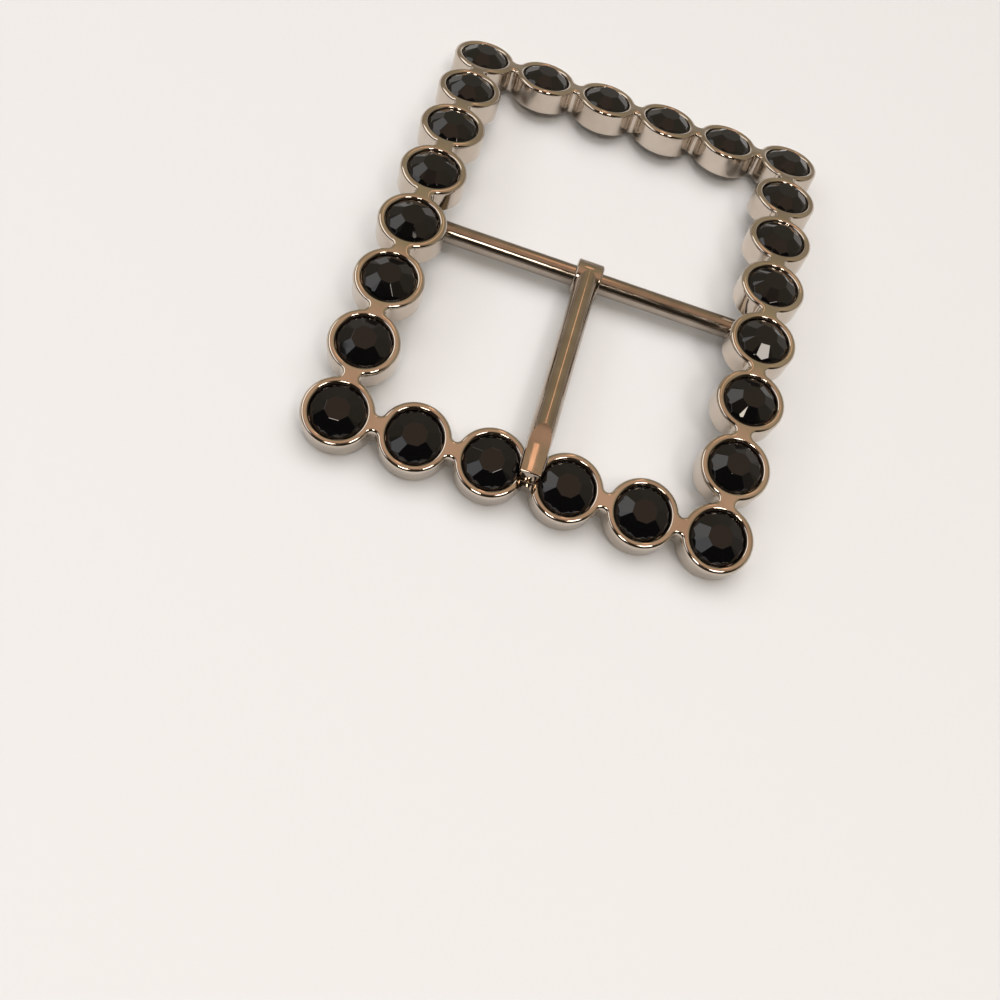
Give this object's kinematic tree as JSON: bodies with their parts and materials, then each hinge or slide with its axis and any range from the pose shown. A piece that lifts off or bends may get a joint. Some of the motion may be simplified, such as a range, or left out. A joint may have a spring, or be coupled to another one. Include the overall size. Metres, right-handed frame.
{
  "type": "centre-bar belt buckle",
  "caption": "Arched rectangular belt buckle with a centre bar, a swinging prong and a ring of round settings that hold faceted black stones.",
  "frame": {"origin": "centre of the buckle on the plane it rests on, below the middle of the strap bar", "axes": "+X across the strap along the bar, +Y along the strap from the prong's tip towards the heel row, +Z out of the face"},
  "size_m": [0.0594, 0.0784, 0.0096],
  "materials": {
    "gunmetal_plate": "polished black-nickel plate on cast zinc alloy",
    "bar_steel": "black-nickel plated drawn steel",
    "prong_plate": "polished black-nickel plate on formed steel",
    "black_glass": "cut and polished opaque black glass"
  },
  "bodies": {
    "buckle": {"frame": "gunmetal_plate", "crossbar": "bar_steel", "stone_01": "black_glass", "stone_02": "black_glass", "stone_03": "black_glass", "stone_04": "black_glass", "stone_05": "black_glass", "stone_06": "black_glass", "stone_07": "black_glass", "stone_08": "black_glass", "stone_09": "black_glass", "stone_10": "black_glass", "stone_11": "black_glass", "stone_12": "black_glass", "stone_13": "black_glass", "stone_14": "black_glass", "stone_15": "black_glass", "stone_16": "black_glass", "stone_17": "black_glass", "stone_18": "black_glass", "stone_19": "black_glass", "stone_20": "black_glass", "stone_21": "black_glass", "stone_22": "black_glass", "stone_23": "black_glass", "stone_24": "black_glass"},
    "prong": {"prong": "prong_plate"}
  },
  "joints": [
    {"name": "prong_pivot", "type": "hinge", "parent": "buckle", "child": "prong", "pos_m": [0, 0, 0.0027], "axis": [-1, 0, 0], "range_deg": [0, 168]}
  ]
}
